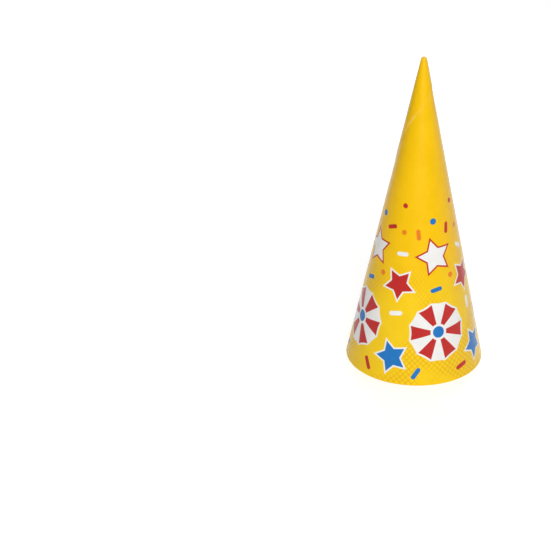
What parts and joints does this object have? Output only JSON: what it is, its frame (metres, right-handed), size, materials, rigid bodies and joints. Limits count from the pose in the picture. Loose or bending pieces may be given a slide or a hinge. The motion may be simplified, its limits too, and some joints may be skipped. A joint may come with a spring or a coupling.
{
  "type": "ice cream cone sleeve",
  "caption": "Rolled paper cone with a glued lap and a tight-wound tip, which wraps and holds a wafer ice cream cone; bright printed outside, white inside.",
  "frame": {"origin": "centre of the mouth's rim, in the plane that the sleeve stands on", "axes": "+Z along the cone's axis, from the mouth up to the tip; the outer lap edge meets the rim behind, near +Y"},
  "size_m": [0.0597, 0.0599, 0.14],
  "materials": {
    "printed_paper": "satin"
  },
  "bodies": {
    "root": {"cone_sleeve": "printed_paper"}
  },
  "joints": []
}
